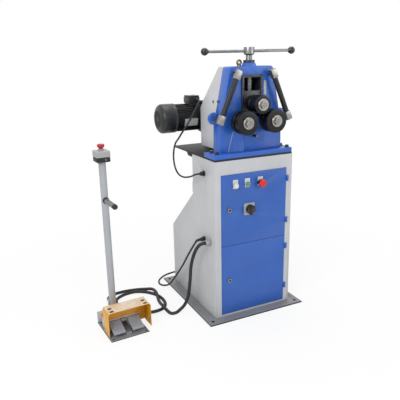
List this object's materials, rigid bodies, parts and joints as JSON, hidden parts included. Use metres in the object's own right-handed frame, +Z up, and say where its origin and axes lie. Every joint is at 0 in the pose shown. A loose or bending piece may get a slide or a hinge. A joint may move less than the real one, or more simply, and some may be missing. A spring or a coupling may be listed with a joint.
{
  "type": "ring roller",
  "caption": "Floor-standing motorised ring roller: cabinet, cast head with cantilevered rolls and a T-handle feed screw, foot pedal station with stop post.",
  "frame": {"origin": "on the floor under the middle of the cabinet's front face", "axes": "+Z up, front of the machine towards -Y, the foot pedal station on the -X side"},
  "size_m": [1.0357, 0.8516, 1.3216],
  "materials": {
    "blue_paint": "semi-gloss",
    "grey_paint": "satin",
    "charcoal_paint": "satin",
    "yellow_paint": "satin",
    "pedal_paint": "satin",
    "black_plastic": "fine grain",
    "cable_rubber": "matte",
    "turned_steel": "satin",
    "bright_steel": "bright",
    "hardened_steel": "black oxide",
    "motor_paint": "matte",
    "red_plastic": "gloss",
    "green_plastic": "gloss",
    "white_plastic": "gloss",
    "zinc_plate": "satin"
  },
  "bodies": {
    "machine_frame": {"base_plate": "grey_paint", "cabinet_shell": "grey_paint", "table_plate": "charcoal_paint", "electrics_panel": "zinc_plate", "motor_cable_gland": "black_plastic", "mains_gland": "black_plastic", "conduit_fitting": "bright_steel", "head_casting": "blue_paint", "rear_cover": "grey_paint", "guide_frame": "turned_steel", "spindle_nut": "turned_steel", "lifting_eye": "turned_steel", "left_guide_bar": "hardened_steel", "right_guide_bar": "hardened_steel", "gearbox": "motor_paint", "motor_body": "motor_paint", "fan_cover": "motor_paint", "terminal_box": "motor_paint", "pedal_base": "pedal_paint", "pedal_guard": "yellow_paint", "pole": "grey_paint", "pole_grip": "cable_rubber", "estop_box": "white_plastic", "control_cable": "cable_rubber", "estop_cable": "cable_rubber", "motor_cable": "cable_rubber", "mains_lead": "cable_rubber", "mains_coil": "cable_rubber", "mains_plug": "cable_rubber"},
    "roll_slide": {"slide_block": "turned_steel"},
    "feed_screw": {"spindle": "bright_steel", "handle_bar": "bright_steel", "ball_knob_left": "black_plastic", "ball_knob_right": "black_plastic"},
    "upper_roll_set": {"upper_shaft": "turned_steel", "upper_roll": "hardened_steel", "upper_roll_nut": "bright_steel"},
    "left_roll_set": {"left_shaft": "turned_steel", "left_roll": "hardened_steel", "left_roll_nut": "bright_steel", "left_gear": "turned_steel"},
    "right_roll_set": {"right_shaft": "turned_steel", "right_roll": "hardened_steel", "right_roll_nut": "bright_steel", "right_gear": "turned_steel"},
    "pinion": {"drive_pinion": "turned_steel"},
    "upper_door_set": {"upper_door": "blue_paint", "pilot_lamp": "white_plastic", "start_button_body": "black_plastic", "stop_button_body": "black_plastic", "main_switch_body": "black_plastic"},
    "lower_door_leaf": {"lower_door": "blue_paint"},
    "upper_door_lock": {"upper_lock": "bright_steel"},
    "lower_door_lock": {"lower_lock": "bright_steel"},
    "start_plunger": {"start_button": "green_plastic"},
    "stop_mushroom": {"stop_button": "red_plastic"},
    "switch_knob": {"main_switch_knob": "black_plastic"},
    "estop_mushroom": {"estop_button": "red_plastic"},
    "left_pedal": {"pedal_left": "pedal_paint"},
    "right_pedal": {"pedal_right": "pedal_paint"}
  },
  "joints": [
    {"name": "slide_feed", "type": "slide", "parent": "machine_frame", "child": "roll_slide", "axis": [0, 0, 1], "range_m": [-0.0151, 0.0501]},
    {"name": "screw_turn", "type": "hinge", "parent": "roll_slide", "child": "feed_screw", "pos_m": [0.008, 0.074, 1.148], "axis": [0, 0, 1], "range_deg": [-1080, 3600]},
    {"name": "upper_roll_spin", "type": "hinge", "parent": "roll_slide", "child": "upper_roll_set", "pos_m": [0.008, 0, 1.0663], "axis": [0, 1, 0], "continuous": true},
    {"name": "left_roll_spin", "type": "hinge", "parent": "machine_frame", "child": "left_roll_set", "pos_m": [-0.069, 0, 0.9868], "axis": [0, 1, 0], "continuous": true},
    {"name": "right_roll_spin", "type": "hinge", "parent": "machine_frame", "child": "right_roll_set", "pos_m": [0.085, 0, 0.9868], "axis": [0, 1, 0], "continuous": true},
    {"name": "pinion_spin", "type": "hinge", "parent": "machine_frame", "child": "pinion", "pos_m": [0.008, 0.2, 0.90547], "axis": [0, 1, 0], "continuous": true},
    {"name": "upper_door_hinge", "type": "hinge", "parent": "machine_frame", "child": "upper_door_set", "pos_m": [0.1895, -0.0055, 0.566], "axis": [0, 0, 1], "range_deg": [0, 110]},
    {"name": "lower_door_hinge", "type": "hinge", "parent": "machine_frame", "child": "lower_door_leaf", "pos_m": [0.1895, -0.0055, 0.2], "axis": [0, 0, 1], "range_deg": [0, 110]},
    {"name": "upper_lock_turn", "type": "hinge", "parent": "upper_door_set", "child": "upper_door_lock", "pos_m": [-0.1415, 0, 0.57], "axis": [0, 1, 0], "range_deg": [0, 90]},
    {"name": "lower_lock_turn", "type": "hinge", "parent": "lower_door_leaf", "child": "lower_door_lock", "pos_m": [-0.1415, 0, 0.201], "axis": [0, 1, 0], "range_deg": [0, 90]},
    {"name": "start_press", "type": "slide", "parent": "upper_door_set", "child": "start_plunger", "axis": [0, 1, 0], "range_m": [0, 0.004], "stiffness_N_per_m": 300, "springref_m": -0.003},
    {"name": "stop_press", "type": "slide", "parent": "upper_door_set", "child": "stop_mushroom", "axis": [0, 1, 0], "range_m": [0, 0.005]},
    {"name": "switch_turn", "type": "hinge", "parent": "upper_door_set", "child": "switch_knob", "pos_m": [-0.032, 0, 0.563], "axis": [0, 1, 0], "range_deg": [0, 90]},
    {"name": "estop_press", "type": "slide", "parent": "machine_frame", "child": "estop_mushroom", "axis": [0, 0, -1], "range_m": [0, 0.005]},
    {"name": "left_pedal_press", "type": "hinge", "parent": "machine_frame", "child": "left_pedal", "pos_m": [-0.70667, 0.1392, 0.05], "axis": [0.9984, 0.0558, 0], "range_deg": [0, 10], "stiffness_Nm_per_rad": 5, "springref_deg": -8.59},
    {"name": "right_pedal_press", "type": "hinge", "parent": "machine_frame", "child": "right_pedal", "pos_m": [-0.61182, 0.1445, 0.05], "axis": [0.9984, 0.0558, 0], "range_deg": [0, 10], "stiffness_Nm_per_rad": 5, "springref_deg": -8.59}
  ],
  "couplings": [
    {"joint": "slide_feed", "follows": "screw_turn", "m_per_rad": 0.00079577},
    {"joint": "right_roll_spin", "follows": "left_roll_spin", "ratio": 1},
    {"joint": "pinion_spin", "follows": "left_roll_spin", "ratio": -1.2857}
  ]
}
